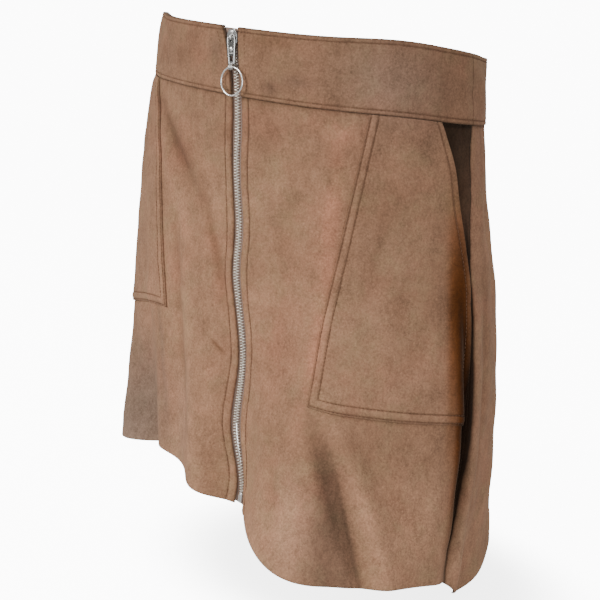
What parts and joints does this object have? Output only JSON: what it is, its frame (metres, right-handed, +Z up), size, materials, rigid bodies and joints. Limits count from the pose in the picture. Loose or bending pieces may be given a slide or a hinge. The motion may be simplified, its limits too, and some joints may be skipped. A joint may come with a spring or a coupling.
{
  "type": "suede mini skirt",
  "caption": "Short A-line suede skirt with a full-length front zip, ring pull, plain waistband and large slanted patch pockets.",
  "frame": {"origin": "middle of the waist opening at the level of the band's top edge, where the wearer holds the skirt up", "axes": "+Z up, -Y the front with the zip, +X the wearer's left"},
  "size_m": [0.3731, 0.2878, 0.4561],
  "materials": {
    "suede_tan": "napped suede, warm tan brown",
    "suede_pocket": "napped suede, warm tan brown",
    "zip_tape": "woven taupe zip tape",
    "zip_teeth": "satin champagne silver",
    "zip_metal": "polished silver"
  },
  "bodies": {
    "skirt": {"back_panel": "suede_tan", "front_left_panel": "suede_tan", "front_right_panel": "suede_tan", "pocket_left": "suede_pocket", "pocket_right": "suede_pocket", "waistband_back": "suede_tan", "waistband_front_left": "suede_tan", "waistband_front_right": "suede_tan", "zip_bottom_stop": "zip_metal", "zip_slider": "zip_metal", "zip_tape_left": "zip_tape", "zip_tape_right": "zip_tape", "zip_teeth_left": "zip_teeth", "zip_teeth_right": "zip_teeth"},
    "pull_tab": {"pull_tab": "zip_metal"},
    "pull_ring": {"pull_ring": "zip_metal"}
  },
  "joints": [
    {"name": "tab_swing", "type": "hinge", "parent": "skirt", "child": "pull_tab", "pos_m": [-0.0128, -0.10807, -0.01024], "axis": [-0.9903, 0.0715, -0.119], "range_deg": [0, 160]},
    {"name": "ring_swing", "type": "hinge", "parent": "pull_tab", "child": "pull_ring", "pos_m": [-0.01002, -0.10827, -0.03347], "axis": [-0.9903, 0.0715, -0.119], "range_deg": [0, 120]}
  ]
}
